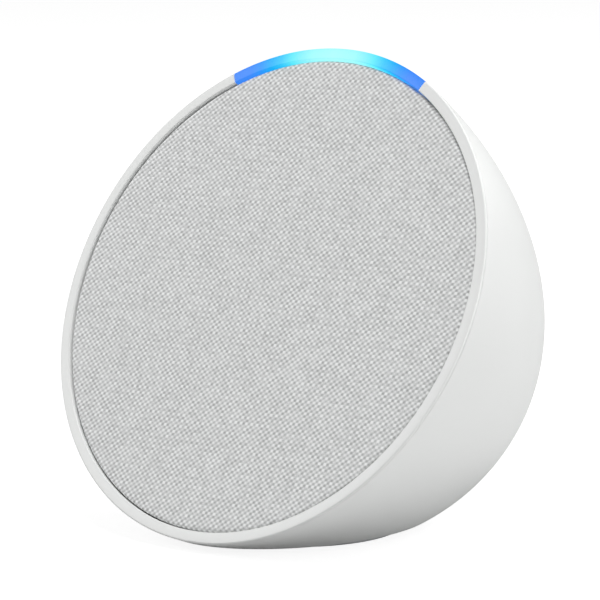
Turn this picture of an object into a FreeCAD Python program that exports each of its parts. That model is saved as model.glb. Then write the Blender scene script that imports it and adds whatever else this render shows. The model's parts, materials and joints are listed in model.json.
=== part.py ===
"""A small round-faced smart speaker, modelled piece by piece in millimetres.

The body is an egg-shaped bowl. A round face, leaning back, closes its open end, and a flat rubber foot
carries it. Row frame: +Z up, the face looks towards -Y, and the origin is the bottom centre of the whole.

Three frames are used. The row frame holds the base, the main board and the power socket. The face frame
has its origin at the centre of the face, +Z out of the face and +Y up along it; it holds the shell, the
grille, the light bar and the loudspeaker. Each button has a frame of its own, +Z out of the surface.
"""

import FreeCAD
import Part

import math
import os

Vector, Placement, Rotation = FreeCAD.Vector, FreeCAD.Placement, FreeCAD.Rotation

# ---- overall size and the shape of the bowl
WIDTH, DEPTH, HEIGHT = 99.0, 83.0, 91.0
FACE_TILT = 26.0  # degrees that the face leans back from upright
CENTRE_AHEAD = 9.35  # the bowl's ellipsoid has its centre this far in front of the face
WALL = 2.2
EDGE_R = 0.3  # rounding of the rim's outer edge
SIN, COS = math.sin(math.radians(FACE_TILT)), math.cos(math.radians(FACE_TILT))
RIM_R = WIDTH / 2 + 0.09 * EDGE_R  # the sharp rim; the rounding brings it back to the stated width
FACE_Z = HEIGHT - (WIDTH / 2 - EDGE_R) * COS + EDGE_R * (SIN - 1)
FACE_Y = (WIDTH / 2 - EDGE_R) * SIN - EDGE_R * (COS - 1) - DEPTH / 2
FOOT_DROP = 1.0  # the bowl's flat base stands this far above the surface

# The long semi-axis that gives the stated depth, from the quadratic for its square
REACH = DEPTH / 2 - FACE_Y + CENTRE_AHEAD * COS
MIDDLE = REACH**2 + (CENTRE_AHEAD * COS) ** 2 - (RIM_R * SIN) ** 2
LONG = math.sqrt((MIDDLE + math.sqrt(MIDDLE**2 - (2 * REACH * CENTRE_AHEAD * COS) ** 2)) / (2 * COS**2))
ROUND = RIM_R / math.sqrt(1 - (CENTRE_AHEAD / LONG) ** 2)

# ---- rim, bezel and light bar
BEZEL_INNER = WIDTH / 2 - WALL
BEZEL_DEEP, BEZEL_GAP = 0.5, 0.08
TONGUE_T, TONGUE_DEEP = 0.9, 4.0
LIGHT_HALF, LIGHT_DEEP = 28.6, 3.0  # half angle about the face's top, and depth seen from above
LIGHT_TAIL_Z, LIGHT_TAIL_T = -8.0, 1.4
LED_BOARD_Z, LED_BOARD_T = -9.4, 0.8
LED_ANGLES = (-21.0, -7.0, 7.0, 21.0)
FIT = 0.1  # gap between a trim piece and its seat

# ---- grille
FABRIC_R, FABRIC_Z, FABRIC_T = 47.05, -0.45, 0.5
GRILLE_T = 1.4
HOLE_R, HOLE_PITCH, HOLED_R = 1.3, 3.9, 38.0
LEG_ANGLES = (10.0, 170.0, 250.0, 290.0)

# ---- chassis and driver
CHASSIS_Z, CHASSIS_T = -8.4, 2.2
DRIVER_Y = -2.0
FLANGE_Z, FLANGE_T, FLANGE_R = -6.8, 1.0, 24.8
DRIVER_EAR_R, DRIVER_EAR_AT = 3.2, 26.6
GAP_Z = -19.4  # middle of the magnetic gap
CONE_TRAVEL = 1.5
BOSS_AT, BOSS_R = 42.2, 3.2
BOSS_ANGLES = (38.0, 142.0, 218.0, 322.0)
TUB_R, TUB_T, TUB_BACK = 31.5, 1.8, -30.4

# ---- buttons and microphones
BUTTON_BACK = 17.5  # distance of the button row behind the face
BUTTON_ANGLES = {"volume_up": 19.0, "volume_down": 0.0, "mic_off": -19.0}
MIC_ANGLES = (-9.5, 9.5)
CAP_R, CAP_HOLE_R, CAP_T = 4.35, 4.6, 2.0
BUTTON_TRAVEL = 0.4
FLEX_DEPTH, FLEX_T, BRACKET_T = 6.8, 0.3, 1.5
STRIP_FRONT, STRIP_REAR = -2.6, 8.4  # the strip under the buttons, along each button's own Y
BRACKET_SCREW_ANGLES, BRACKET_SCREW_Y = (-30.0, 30.0), 3.0

# ---- main board and power socket, in the row frame
BOARD_Y, BOARD_T = 19.4, 1.2
BOARD_HALF_X, BOARD_LOW, BOARD_HIGH = 23.0, 17.5, 53.5
POST_X, POST_Z = 19.5, (21.5, 49.5)
SOCKET_Z, SOCKET_R, COLLAR_R, COLLAR_Y = 27.0, 4.75, 6.6, 33.6
PLUG_R, PLUG_PIN_R, PLUG_DEEP = 2.1, 0.83, 9.5

# ---- foot
FOOT_R, FOOT_Y, FOOT_RECESS = 20.0, -10.5, 0.8

# ---- wiring
SOCKET_TOP = 52.5
RIBBON_X = {"led": -9.5, "buttons": 0.0}
TAB_ANGLE, TAB_APART, TAB_Z = 225.0, 2.0, -16.4

SCREW_R = 1.0
CUT = 100.0  # longer than anything in the model


# ---------------------------------------------------------------- helpers
def frame(origin, x_axis, z_axis):
    """A placement with its origin and its X and Z axes given."""
    return Placement(origin, Rotation(x_axis, z_axis.cross(x_axis), z_axis, "ZXY"))


FACE = Placement(Vector(0, FACE_Y, FACE_Z), Rotation(Vector(1, 0, 0), 90 - FACE_TILT))


def put(shape, place=FACE):
    """The shape, moved from that frame's own coordinates into the row frame."""
    moved = shape.copy()
    moved.Placement = place.multiply(moved.Placement)
    return moved


def spun(shape, angle):
    """The shape turned about the Z axis."""
    return put(shape, Placement(Vector(), Rotation(Vector(0, 0, 1), angle)))


def join(*shapes):
    return shapes[0].fuse(list(shapes[1:])).removeSplitter()


def group(shapes):
    """Identical pieces that stay separate solids in one node."""
    return Part.makeCompound(list(shapes))


def cylinder(radius, low, high, x=0.0, y=0.0):
    return Part.makeCylinder(radius, high - low, Vector(x, y, low))


def tube(inner, outer, low, high, x=0.0, y=0.0):
    return cylinder(outer, low, high, x, y).cut(cylinder(inner, low - 1, high + 1, x, y))


def box(x0, x1, y0, y1, z0, z1):
    return Part.makeBox(x1 - x0, y1 - y0, z1 - z0, Vector(x0, y0, z0))


def rounded_box(x0, x1, y0, y1, z0, z1, radius, axis):
    """A box whose four edges along that axis are rounded."""
    solid = box(x0, x1, y0, y1, z0, z1)
    along = [
        e
        for e in solid.Edges
        if abs((e.Vertexes[0].Point - e.Vertexes[1].Point).normalize().dot(axis)) > 0.9
    ]
    return solid.makeFillet(radius, along)


def turned(points, start=0.0, sweep=360.0):
    """A closed outline of (radius, height) points, turned about Z. A point written with three values,
    (radius, height, "via"), is the middle of an arc between its neighbours."""
    edges = []
    corners = list(points) + [points[0]]
    i = 0
    while i < len(corners) - 1:
        here = Vector(corners[i][0], 0, corners[i][1])
        if len(corners[i + 1]) == 3:
            mid = Vector(corners[i + 1][0], 0, corners[i + 1][1])
            end = Vector(corners[i + 2][0], 0, corners[i + 2][1])
            edges.append(Part.Arc(here, mid, end).toShape())
            i += 2
        else:
            end = Vector(corners[i + 1][0], 0, corners[i + 1][1])
            edges.append(Part.makeLine(here, end))
            i += 1
    solid = Part.Face(Part.Wire(edges)).revolve(Vector(), Vector(0, 0, 1), sweep)
    solid.rotate(Vector(), Vector(0, 0, 1), start)
    return solid


def at_top(points, half_angle):
    """The outline turned through that angle to each side of the face's top."""
    return turned(points, 90 - half_angle, 2 * half_angle)


def rectangle(inner, outer, low, high):
    return [(inner, low), (outer, low), (outer, high), (inner, high)]


def screw(length, head_r=1.9, head_h=1.3, shank_r=SCREW_R - 0.02):
    """A pan-head screw with a cross recess. Its head sits on z = 0 and its shank points down."""
    tip = 0.6
    outline = [
        (0, head_h),
        (head_r * 0.55, head_h),
        (head_r * 0.92, head_h * 0.72, "via"),
        (head_r, 0),
        (shank_r, 0),
        (shank_r, tip - length),
        (0, -length),
    ]
    slot, reach, deep = 0.22, head_r * 0.6, 0.7
    cross = [
        box(-slot, slot, -reach, reach, head_h - deep, head_h + 1),
        box(-reach, reach, -slot, slot, head_h - deep, head_h + 1),
    ]
    return turned(outline).cut(cross)


def tilted_screw(length, place):
    return put(screw(length), place)


# ---------------------------------------------------------------- the bowl's surface
def surface_radius(back, inset=0.0):
    """Radius of the bowl, that far behind the face and that far inside its skin."""
    return (ROUND - inset) * math.sqrt(1 - ((back + CENTRE_AHEAD) / (LONG - inset)) ** 2)


def egg(inset, top=0.0):
    """The bowl's solid ellipsoid, shrunk by inset and cut flat at height top in the face frame."""
    centre = Vector(0, 0, CENTRE_AHEAD)
    long_axis, round_axis = LONG - inset, ROUND - inset
    curve = Part.Ellipse(centre + Vector(0, 0, long_axis), centre + Vector(round_axis, 0, 0), centre)
    start = math.acos((top - CENTRE_AHEAD) / long_axis)
    arc = Part.ArcOfEllipse(curve, start, math.pi).toShape()
    rim = Vector(round_axis * math.sin(start), 0, top)
    pole = Vector(0, 0, CENTRE_AHEAD - long_axis)
    hub = Vector(0, 0, top)
    outline = Part.Wire([arc, Part.makeLine(pole, hub), Part.makeLine(hub, rim)])
    return Part.Face(outline).revolve(Vector(), Vector(0, 0, 1), 360)


def above(height):
    """Everything higher than that in the row frame."""
    return box(-CUT, CUT, -CUT, CUT, height, 2 * CUT)


def room(inset, top=1.0):
    """The space inside the bowl, that far within its skin and above its floor, in the row frame."""
    return put(egg(inset, top)).common(above(FOOT_DROP + inset))


BUTTON_SURFACE_R = surface_radius(BUTTON_BACK)
BUTTON_LEAN = math.atan(ROUND**2 * (BUTTON_BACK + CENTRE_AHEAD) / (LONG**2 * BUTTON_SURFACE_R))


def button_frame(angle):
    """Origin on the bowl's skin in the button row, +Z outwards, +Y towards the back."""
    a, lean = math.radians(angle), BUTTON_LEAN
    outwards = Vector(math.sin(a), math.cos(a), 0)
    origin = outwards * BUTTON_SURFACE_R + Vector(0, 0, -BUTTON_BACK)
    normal = outwards * math.cos(lean) + Vector(0, 0, -math.sin(lean))
    return FACE.multiply(frame(origin, Vector(math.cos(a), -math.sin(a), 0), normal))


def under_buttons(depth, along):
    """(radius, height) in the face frame of a point that far under the skin and that far back."""
    sin, cos = math.sin(BUTTON_LEAN), math.cos(BUTTON_LEAN)
    return (
        BUTTON_SURFACE_R - depth * cos - along * sin,
        -BUTTON_BACK + depth * sin - along * cos,
    )


def strip(top, bottom, half_angle):
    """A curved strip under the button row, between two depths."""
    corners = [(top, STRIP_FRONT), (top, STRIP_REAR), (bottom, STRIP_REAR), (bottom, STRIP_FRONT)]
    return put(at_top([under_buttons(*c) for c in corners], half_angle))


# ---------------------------------------------------------------- shell, bezel and light bar
def boss_spots():
    for angle in BOSS_ANGLES:
        a = math.radians(angle)
        yield BOSS_AT * math.cos(a), BOSS_AT * math.sin(a)


def post_spots():
    for x in (-POST_X, POST_X):
        for z in POST_Z:
            yield x, z


def along_y(x, z, y):
    """A frame with its origin there and its +Z pointing along the row's -Y."""
    return frame(Vector(x, y, z), Vector(1, 0, 0), Vector(0, -1, 0))


def light_outline(grow=0.0):
    """Section of the light bar: a head in the rim, and a tail that leads the light in from the LEDs."""
    head, tail = BEZEL_INNER - grow, -LIGHT_DEEP - grow
    outside = RIM_R + 5
    return [
        (head, 1),
        (outside, 1),
        (outside, tail),
        (head + 1.1 + 2 * grow, tail),
        (45.4 + grow, LIGHT_TAIL_Z),
        (45.4 - LIGHT_TAIL_T - grow, LIGHT_TAIL_Z),
        (head, tail - 1.2),
    ]


def rounded_front():
    """The bowl's solid outside up to the face, with the rim's outer edge rounded."""
    solid = egg(0)
    rim = [e for e in solid.Edges if abs(e.Length - 2 * math.pi * RIM_R) < 0.5]
    return solid.makeFillet(EDGE_R, rim)


def inner_bevel():
    bevel = 0.25
    return turned([(BEZEL_INNER, 0), (BEZEL_INNER + bevel, 0.01), (BEZEL_INNER, -bevel)])


def light_bar():
    outline = light_outline()
    bar = at_top(outline, LIGHT_HALF - FIT / RIM_R * 57.3).common(rounded_front())
    return put(bar.cut(inner_bevel()))


def bezel_ring():
    tongue = tube(BEZEL_INNER, BEZEL_INNER + TONGUE_T, -TONGUE_DEEP, -BEZEL_DEEP)
    flange = rounded_front().common(tube(BEZEL_INNER, CUT, -BEZEL_DEEP, 1))
    ring = flange.fuse(tongue).cut(inner_bevel()).cut(at_top(light_outline(FIT), LIGHT_HALF))
    return put(ring.removeSplitter())


def housing():
    """The bowl: one moulding with its screw bosses, board posts and power socket collar."""
    skin_top = -BEZEL_DEEP - BEZEL_GAP
    whole = put(egg(0, skin_top)).common(above(FOOT_DROP))
    base_edge = [e for e in whole.Edges if abs(e.BoundBox.ZMax - FOOT_DROP) < 0.01 and e.Length > 100]
    if base_edge:
        whole = whole.makeFillet(1.2, base_edge)
    shell = whole.cut(room(WALL))
    chassis_bosses = [
        put(cylinder(BOSS_R, -36, CHASSIS_Z - CHASSIS_T, x, y)) for x, y in boss_spots()
    ]
    board_posts = [
        put(cylinder(3.0, -30, 0), along_y(x, z, BOARD_Y + BOARD_T)) for x, z in post_spots()
    ]
    collar = put(cylinder(COLLAR_R, -20, 0), along_y(0, SOCKET_Z, COLLAR_Y))
    bracket_bosses = [
        put(cylinder(2.6, -FLEX_DEPTH - FLEX_T, -1), button_frame(a)) for a in BRACKET_SCREW_ANGLES
    ]
    inside = [f.common(whole) for f in [*chassis_bosses, *board_posts, collar, *bracket_bosses]]
    body = shell.fuse(inside)
    pilots = [put(cylinder(SCREW_R, -20, 0, x, y)) for x, y in boss_spots()]
    pilots += [put(cylinder(SCREW_R, -7, 1), along_y(x, z, BOARD_Y + BOARD_T)) for x, z in post_spots()]
    pilots += [
        put(cylinder(SCREW_R, -9, -3.2, 0, BRACKET_SCREW_Y), button_frame(a))
        for a in BRACKET_SCREW_ANGLES
    ]
    rebate = put(tube(1, BEZEL_INNER + TONGUE_T + FIT, -TONGUE_DEEP - FIT, 1))
    openings = [
        rebate,
        put(at_top(light_outline(FIT), LIGHT_HALF)),
        put(cylinder(SOCKET_R, -30, 1), along_y(0, SOCKET_Z, COLLAR_Y)),
        put(cylinder(FOOT_R + 0.3, -5, FOOT_DROP + FOOT_RECESS), Placement(Vector(0, FOOT_Y, 0), Rotation())),
    ]
    openings += [put(cylinder(CAP_HOLE_R, -6, 3), button_frame(a)) for a in BUTTON_ANGLES.values()]
    openings += [put(cylinder(0.5, -6, 3), button_frame(a)) for a in MIC_ANGLES]
    return body.cut(pilots + openings).removeSplitter()


# ---------------------------------------------------------------- grille
def grille_fabric():
    """The cloth as one skin: a flat front with a rounded edge, turned down round the frame."""
    back = FABRIC_Z - FABRIC_T - GRILLE_T
    edge, inner = 0.7, FABRIC_R - FABRIC_T
    skin = turned([
        (0, FABRIC_Z),
        (FABRIC_R - edge, FABRIC_Z),
        (FABRIC_R - edge * 0.293, FABRIC_Z - edge * 0.293, "via"),
        (FABRIC_R, FABRIC_Z - edge),
        (FABRIC_R, back),
        (inner, back),
        (inner, FABRIC_Z - FABRIC_T),
        (0, FABRIC_Z - FABRIC_T),
    ])
    return put(skin)


def hex_spots(reach, pitch):
    """Centres of a hexagonal pattern inside a circle."""
    rows = int(reach / (pitch * 0.866)) + 1
    for j in range(-rows, rows + 1):
        y = j * pitch * 0.866
        for i in range(-rows - 1, rows + 2):
            x = (i + (j % 2) / 2) * pitch
            if math.hypot(x, y) < reach:
                yield x, y


def grille_frame():
    """The perforated plate behind the cloth, with four snap legs that enter the chassis."""
    top = FABRIC_Z - FABRIC_T
    outside = Part.Wire(Part.makeCircle(FABRIC_R - FABRIC_T, Vector(0, 0, top)))
    holes = [
        Part.Wire(Part.makeCircle(HOLE_R, Vector(x, y, top))) for x, y in hex_spots(HOLED_R, HOLE_PITCH)
    ]
    plate = Part.makeFace([outside] + holes, "Part::FaceMakerBullseye").extrude(Vector(0, 0, -GRILLE_T))
    leg = box(39.3, 41.3, -2.5, 2.5, CHASSIS_Z - CHASSIS_T, top - GRILLE_T / 2)
    return put(plate.fuse([spun(leg, a) for a in LEG_ANGLES]).removeSplitter())


# ---------------------------------------------------------------- light
def led_board():
    return put(at_top(rectangle(41.6, 45.4, LED_BOARD_Z - LED_BOARD_T, LED_BOARD_Z), 26.5))


def status_leds():
    one = box(-1.6, 1.6, 43.9, 45.1, LED_BOARD_Z, LED_BOARD_Z + 1.2)
    return put(group(spun(one, angle) for angle in LED_ANGLES))


def light_shield():
    """A foam strip on the LED board that keeps stray light out of the grille."""
    foot = LED_BOARD_Z
    return put(at_top([(42.8, foot), (43.6, foot), (43.7, -7.9), (44.0, -5.5), (42.8, -5.5)], 26.5))


# ---------------------------------------------------------------- chassis and acoustic chamber
def driver_ears(radius, low, high, offset=DRIVER_EAR_AT):
    for angle in (45, 135, 225, 315):
        a = math.radians(angle)
        yield cylinder(radius, low, high, offset * math.cos(a), offset * math.sin(a) + DRIVER_Y)


def chassis():
    """The plate across the bowl that the driver and the chamber hang from."""
    back = CHASSIS_Z - CHASSIS_T
    plate = put(cylinder(RIM_R, back, CHASSIS_Z)).common(room(WALL + 0.3))
    rim = tube(TUB_R - TUB_T - 1.6, TUB_R - TUB_T - 0.3, back - 2.5, back + 0.5, 0, DRIVER_Y)
    hung = rim.fuse(list(driver_ears(2.4, back - 4, back + 0.5)))
    hung = put(hung).common(room(WALL + 0.6 + TUB_T))
    notch = at_top(rectangle(41.2, 60, back - 1, CHASSIS_Z + 1), 31)
    slot = box(39.0, 41.6, -2.9, 2.9, back - 1, CHASSIS_Z + 1)
    cuts = [cylinder(22.9, back - 6, CHASSIS_Z + 1, 0, DRIVER_Y), notch, *[spun(slot, a) for a in LEG_ANGLES]]
    cuts += [cylinder(1.3, back - 1, CHASSIS_Z + 1, x, y) for x, y in boss_spots()]
    cuts += list(driver_ears(SCREW_R, back - 3.4, CHASSIS_Z + 1))
    return plate.fuse(hung).cut([put(c) for c in cuts]).removeSplitter()


def chamber_tub():
    """The sealed box of air behind the driver, moulded to clear the bowl's floor."""
    top = CHASSIS_Z - CHASSIS_T - 0.5
    outer = put(cylinder(TUB_R, TUB_BACK, top, 0, DRIVER_Y)).common(room(WALL + 0.4))
    inner = put(cylinder(TUB_R - TUB_T, TUB_BACK + TUB_T, top + 1, 0, DRIVER_Y)).common(
        room(WALL + 0.4 + TUB_T)
    )
    hole = put(cylinder(WIRE_HOLE_R, TUB_BACK - 1, TUB_BACK + TUB_T + 1, WIRE_X, WIRE_Y))
    return outer.cut([inner, hole]).removeSplitter()


def chamber_gasket():
    top = CHASSIS_Z - CHASSIS_T
    ring = tube(TUB_R - TUB_T, TUB_R, top - 0.5, top, 0, DRIVER_Y)
    return put(ring).common(room(WALL + 0.4))


def driver_gasket():
    return put(tube(22.9, FLANGE_R, CHASSIS_Z, FLANGE_Z - FLANGE_T, 0, DRIVER_Y))


# ---------------------------------------------------------------- driver
DRIVER = FACE.multiply(Placement(Vector(0, DRIVER_Y, 0), Rotation()))


def speaker_basket():
    under, seat = FLANGE_Z - FLANGE_T, -17.4
    wall = turned([
        (22.6, FLANGE_Z), (FLANGE_R, FLANGE_Z), (FLANGE_R, under), (22.4, under), (17.5, seat),
        (17.5, seat - 1), (11.4, seat - 1), (11.4, seat), (16.5, seat), (17.3, seat + 1.8),
        (16.6, seat + 1.8), (16.6, seat + 2.4), (17.9, seat + 2.4), (21.5, under + 0.2), (22.6, FLANGE_Z - 0.4),
    ])
    ears = [e for e in driver_ears(DRIVER_EAR_R, under, FLANGE_Z)]
    holes = [e for e in driver_ears(1.3, under - 1, FLANGE_Z + 1)]
    to_driver = Placement(Vector(0, -DRIVER_Y, 0), Rotation())
    body = wall.fuse([put(e, to_driver) for e in ears]).cut([put(h, to_driver) for h in holes])
    body = body.cut(cylinder(22.6, FLANGE_Z - 0.5, FLANGE_Z + 1))
    windows = [turned(rectangle(15, 22.2, -14.4, -9.2), a - 27, 54) for a in (0, 90, 180, 270)]
    return put(body.cut(windows).removeSplitter(), DRIVER)


def speaker_surround():
    """A rubber half roll between the cone's lip and the basket's flange."""
    low, t, roll, middle = FLANGE_Z, 0.5, 1.6, 21.0
    return put(turned([
        (18.4, low), (middle - roll, low), (middle, low + roll, "via"), (middle + roll, low), (24.4, low),
        (24.4, low + t), (middle + roll + t * 0.7, low + t), (middle, low + roll + t, "via"),
        (middle - roll - t * 0.7, low + t), (18.4, low + t),
    ]), DRIVER)


def speaker_cone():
    lip, neck, t = FLANGE_Z, -13.2, 0.35
    return put(turned([
        (9.95, neck), (18.3, lip - t), (19.3, lip - t), (19.3, lip), (18.2, lip), (9.95, neck + t * 1.2),
    ]), DRIVER)


def dust_cap():
    edge, low, rise, t = 12.2, -11.1, 2.6, 0.3
    radius = (edge**2 + rise**2) / (2 * rise)
    centre = Vector(0, 0, low + rise - radius)
    shell = Part.makeSphere(radius, centre).cut(Part.makeSphere(radius - t, centre))
    return put(shell.common(cylinder(edge + 1, low, low + rise + 1)), DRIVER)


def coil_former():
    return put(tube(9.7, 9.9, GAP_Z - 2.4, -12.9), DRIVER)


def voice_coil():
    return put(tube(9.9, 10.4, GAP_Z - 2.0, GAP_Z + 2.0), DRIVER)


def spider():
    """The corrugated disc that centres the coil, from the former out to the basket's ledge."""
    seat, t, inner, outer = -15.0, 0.3, 9.95, 17.4
    first, last, waves = 10.9, 16.5, 4
    step = (last - first) / waves

    def side(height):
        points = [(first, height)]
        for i in range(waves):
            crest = height + (0.55 if i % 2 else -0.55)
            points += [(first + (i + 0.5) * step, crest, "via"), (first + (i + 1) * step, height)]
        return points

    lower = [(inner, seat), *side(seat), (outer, seat)]
    upper = [(outer, seat + t), *reversed(side(seat + t)), (inner, seat + t)]
    return put(turned(lower + upper), DRIVER)


def top_plate():
    return put(tube(10.9, 17.5, GAP_Z - 1.0, GAP_Z + 1.0), DRIVER)


def magnet():
    return put(tube(12.6, 18.0, GAP_Z - 6.0, GAP_Z - 1.0), DRIVER)


def pole_yoke():
    back = GAP_Z - 8.4
    return put(turned([
        (1.8, back), (16.9, back), (17.5, back + 0.6), (17.5, GAP_Z - 6), (9.4, GAP_Z - 6),
        (9.4, GAP_Z + 0.8), (9.0, GAP_Z + 1.2), (1.8, GAP_Z + 1.2),
    ]), DRIVER)


def speaker_terminals():
    """A small tag board on the basket's strut, with two solder tabs."""
    plate = box(19.75, 20.55, -3.5, 3.5, -17.2, -13.2)
    tabs = [box(20.55, 23.0, y - 0.8, y + 0.8, TAB_Z, TAB_Z + 0.5) for y in (-TAB_APART, TAB_APART)]
    return put(spun(plate.fuse(tabs), TAB_ANGLE), DRIVER)


# ---------------------------------------------------------------- main board
def board_part(x0, x1, z0, z1, height, rear=False):
    """A part soldered on the main board: on the face towards the grille, or on the rear face."""
    if rear:
        return box(x0, x1, BOARD_Y + BOARD_T, BOARD_Y + BOARD_T + height, z0, z1)
    return box(x0, x1, BOARD_Y - height, BOARD_Y, z0, z1)


def main_board():
    plate = rounded_box(
        -BOARD_HALF_X, BOARD_HALF_X, BOARD_Y, BOARD_Y + BOARD_T, BOARD_LOW, BOARD_HIGH, 4, Vector(0, 1, 0)
    )
    return plate.cut([put(cylinder(1.2, -3, 3), along_y(x, z, BOARD_Y)) for x, z in post_spots()])


SHIELD_T = 2.0


def processor():
    return board_part(-6, 6, 28, 40, 1.2)


def processor_shield():
    """A folded steel lid over the processor and its memory."""
    can = board_part(-9, 13, 25.5, 42.5, SHIELD_T)
    hollow = box(-8.7, 12.7, BOARD_Y - SHIELD_T + 0.3, BOARD_Y, 25.8, 42.2)
    return can.cut(hollow)


def memory_chips():
    return group([board_part(7.2, 12.2, 27, 33, 1.0), board_part(7.2, 12.2, 35, 41, 1.0)])


def radio_module():
    return board_part(-20.5, -11, 31, 43, 1.8)


def board_inductors():
    low, high = BOARD_Y + BOARD_T, BOARD_Y + BOARD_T + 3
    return group(
        rounded_box(x - 2.5, x + 2.5, low, high, z - 2.5, z + 2.5, 0.8, Vector(0, 1, 0))
        for x, z in [(-12.5, 38), (-12.5, 30)]
    )


def board_capacitors():
    back = BOARD_Y + BOARD_T
    return group(
        put(cylinder(2.4, -5.5, 0), along_y(x, z, back)) for x, z in [(12, 45), (12, 38), (12, 31)]
    )


def ribbon_sockets():
    return group(
        board_part(x - 4, x + 4, SOCKET_TOP - 3.5, SOCKET_TOP, 1.6, rear=True) for x in RIBBON_X.values()
    )


def speaker_socket():
    return board_part(-16, -9.5, 20.5, 25, 3.0)


def thermal_pad():
    y = BOARD_Y - SHIELD_T
    return box(-7, 11, y - 1, y, 27, 41)


def heat_spreader():
    """A bent aluminium plate that stands on the board and carries off the processor's heat."""
    y = BOARD_Y - SHIELD_T - 1
    plate = rounded_box(-10.4, 16.2, y - 1.2, y, 24, 44, 2, Vector(0, 1, 0))
    legs = [box(14.9, 16.2, y - 0.6, BOARD_Y, 30, 38), box(-10.4, -9.2, y - 0.6, BOARD_Y, 30, 38)]
    return join(plate, *legs)


# ---------------------------------------------------------------- power socket
def power_socket():
    front, rear = COLLAR_Y - 0.6, BOARD_Y + BOARD_T
    body = rounded_box(-6, 6, rear, front, SOCKET_Z - 6, SOCKET_Z + 6, 1.0, Vector(0, 1, 0))
    bore = put(cylinder(PLUG_R, -1, PLUG_DEEP), along_y(0, SOCKET_Z, front))
    return body.cut(bore)


def power_pin():
    front = COLLAR_Y - 0.6
    pin = turned([(0, 0.6 - 1.4), (0.5, -0.9), (PLUG_PIN_R, -1.5), (PLUG_PIN_R, -PLUG_DEEP), (0, -PLUG_DEEP)])
    return put(pin, frame(Vector(0, front, SOCKET_Z), Vector(1, 0, 0), Vector(0, 1, 0)))


def power_contact():
    """The sprung leaf that touches the plug's sleeve, in the bottom of the bore."""
    front = COLLAR_Y - 0.6
    return box(-0.8, 0.8, front - 8.8, front - 2.0, SOCKET_Z - PLUG_R + 0.2, SOCKET_Z - PLUG_R + 0.5)


# ---------------------------------------------------------------- buttons
def button_marks(name):
    """Shallow grooves in the key's dish: a plus, a minus, or a ring with a bar across it."""
    low, half, wide = -0.65, 1.6, 0.22
    bar = box(-half, half, -wide, wide, low, 1)
    return {
        "volume_up": [bar, spun(bar, 90)],
        "volume_down": [bar],
        "mic_off": [tube(half - 2 * wide, half, low, 1), spun(bar, 45)],
    }[name]


def button(name):
    """A key: a dished cap flush with the skin, a flange that keeps it in, and a post on the switch."""
    place = button_frame(BUTTON_ANGLES[name])
    cap = cylinder(CAP_R, -CAP_T - 0.8, 3)
    flange = cylinder(5.3, -3.5, -CAP_T - 0.8)
    post = cylinder(1.4, -4.6, -3.5)
    dish = Part.makeSphere(22.0, Vector(0, 0, 21.55))
    top = put(cap.cut([dish, *button_marks(name)]), place).common(put(egg(0)))
    return join(top, put(flange, place), put(post, place))


def switch_plunger(name):
    return put(cylinder(1.0, -5.7, -4.6), button_frame(BUTTON_ANGLES[name]))


def switch_bases():
    one = box(-2.5, 2.5, -2.5, 2.5, -FLEX_DEPTH, -5.2).cut(cylinder(1.1, -6.4, 0))
    return group(put(one, button_frame(a)) for a in BUTTON_ANGLES.values())


def button_flex():
    return strip(FLEX_DEPTH, FLEX_DEPTH + FLEX_T, 25)


def button_bracket():
    plate = strip(FLEX_DEPTH + FLEX_T, FLEX_DEPTH + FLEX_T + BRACKET_T, 34)
    holes = [
        put(cylinder(1.3, -12, 0, 0, BRACKET_SCREW_Y), button_frame(a)) for a in BRACKET_SCREW_ANGLES
    ]
    return plate.cut(holes)


def microphones():
    one = box(-1.3, 1.3, -1.8, 1.8, -FLEX_DEPTH, -FLEX_DEPTH + 1.0)
    return group(put(one, button_frame(a)) for a in MIC_ANGLES)


def mic_boots():
    one = tube(0.5, 1.5, -FLEX_DEPTH + 1.0, -WALL - 0.12)
    return group(put(one, button_frame(a)) for a in MIC_ANGLES)


# ---------------------------------------------------------------- wires, ribbons and aerials
WIRE_X, WIRE_Y, WIRE_R, WIRE_HOLE_R = -15.6, -17.6, 0.5, 2.2


def rounded_path(points):
    """Straight runs joined by tangent arcs, each arc as large as its two runs allow."""
    edges, last = [], points[0]
    for before, corner, after in zip(points, points[1:], points[2:]):
        run_in, run_out = corner - before, after - corner
        turn = run_in.getAngle(run_out)
        cut = 0.45 * min(run_in.Length, run_out.Length)
        start = corner - run_in.normalize() * cut
        end = corner + run_out.normalize() * cut
        bulge = (start + end) * 0.5
        radius = cut / math.tan(turn / 2)
        to_corner = (corner - bulge).normalize()
        middle = bulge + to_corner * (radius * (1 - math.cos(turn / 2)))
        edges += [Part.makeLine(last, start), Part.Arc(start, middle, end).toShape()]
        last = end
    return Part.Wire(edges + [Part.makeLine(last, points[-1])])


def swept(points, radius):
    path = rounded_path(points)
    circle = Part.makeCircle(radius, points[0], points[1] - points[0])
    return path.makePipeShell([Part.Wire(circle)], True, False)


def speaker_wires():
    """Two leads: from the driver's tags through the chamber's grommet to the board's socket."""
    a = math.radians(TAB_ANGLE)
    wires = []
    for side in (-1, 1):
        tag_x = 21.8 * math.cos(a) - side * TAB_APART * math.sin(a)
        tag_y = 21.8 * math.sin(a) + side * TAB_APART * math.cos(a)
        tag = DRIVER.multVec(Vector(tag_x, tag_y, TAB_Z))
        below = DRIVER.multVec(Vector(tag_x, tag_y, TAB_Z - 3.5))
        inside = FACE.multVec(Vector(WIRE_X + side * 0.8, WIRE_Y, TUB_BACK + 4.5))
        outside = FACE.multVec(Vector(WIRE_X + side * 0.8, WIRE_Y, TUB_BACK - 4.0))
        near = Vector(-12.75 + side * 0.8, BOARD_Y - 7.0, 22.75)
        socket = Vector(-12.75 + side * 0.8, BOARD_Y - 3.0, 22.75)
        wires.append(swept([tag, below, inside, outside, near, socket], WIRE_R))
    return group(wires)


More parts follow.
